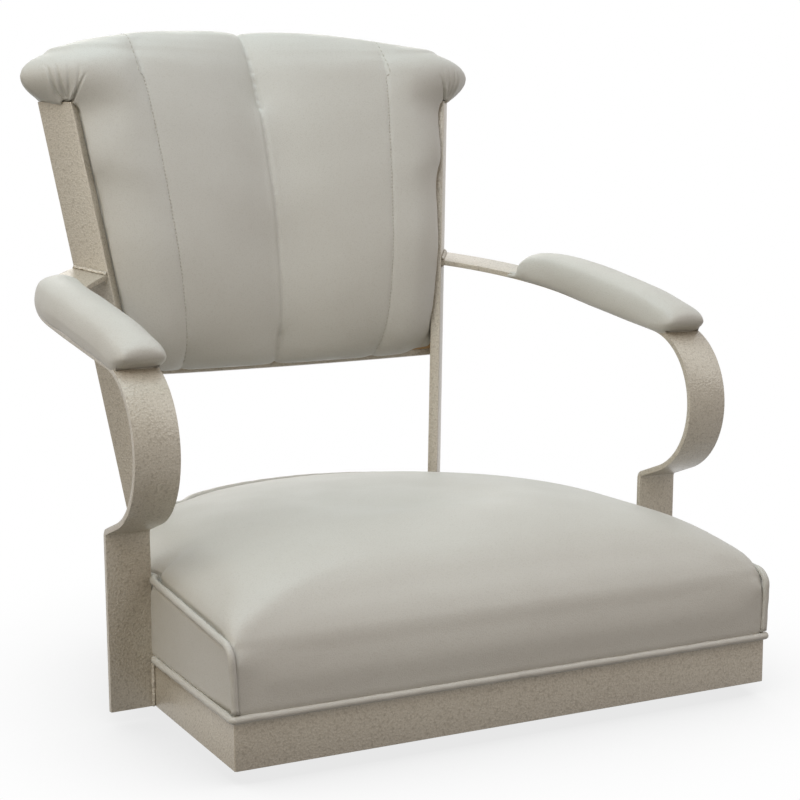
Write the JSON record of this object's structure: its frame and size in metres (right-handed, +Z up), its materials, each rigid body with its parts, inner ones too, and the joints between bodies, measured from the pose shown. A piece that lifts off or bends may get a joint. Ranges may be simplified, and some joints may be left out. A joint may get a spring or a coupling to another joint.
{
  "type": "swivel counter stool seat head",
  "caption": "Upholstered seat, channelled rolled back and padded arms on a flat-bar steel frame, turning on a square ball-bearing swivel plate.",
  "frame": {"origin": "on the swivel axis at the underside of the lower swivel plate", "axes": "+Z up along the swivel axis, the seat faces -Y, +X towards the viewer's right when the seat is seen from the front; left and right in node names are as seen from the front"},
  "size_m": [0.5672, 0.5949, 0.5772],
  "materials": {
    "frame_paint": "satin",
    "vinyl": "satin",
    "plywood": "matte",
    "swivel_steel": "satin",
    "fastener_steel": "satin",
    "washer_nylon": "matte",
    "dust_cloth": "matte"
  },
  "bodies": {
    "swivel_base": {"swivel_lower_plate": "swivel_steel", "swivel_balls": "swivel_steel", "swivel_ball_cage": "swivel_steel", "swivel_rivet": "swivel_steel", "swivel_thrust_washer": "washer_nylon"},
    "seat": {"apron_front_bar": "frame_paint", "apron_hoop": "frame_paint", "arm_pad_screws": "fastener_steel", "back_board": "plywood", "back_board_screws": "fastener_steel", "back_cushion": "vinyl", "back_lower_rail": "frame_paint", "back_outer_panel": "vinyl", "back_upper_rail": "frame_paint", "crossbar_front": "frame_paint", "crossbar_rear": "frame_paint", "left_arm_bar": "frame_paint", "left_arm_pad": "vinyl", "left_arm_pad_core": "plywood", "left_arm_welds": "frame_paint", "left_upright": "frame_paint", "right_arm_bar": "frame_paint", "right_arm_pad": "vinyl", "right_arm_pad_core": "plywood", "right_arm_welds": "frame_paint", "right_upright": "frame_paint", "seat_base_welt": "vinyl", "seat_board": "plywood", "seat_board_screws": "fastener_steel", "seat_cushion": "vinyl", "seat_dust_cover": "dust_cloth", "seat_mount_tabs": "frame_paint", "seat_top_welt": "vinyl", "swivel_bolts": "fastener_steel", "swivel_nuts": "fastener_steel", "swivel_upper_plate": "swivel_steel", "upright_welds": "frame_paint"}
  },
  "joints": [
    {"name": "seat_swivel", "type": "hinge", "parent": "swivel_base", "child": "seat", "pos_m": [0, 0, 0], "axis": [0, 0, 1], "continuous": true}
  ]
}
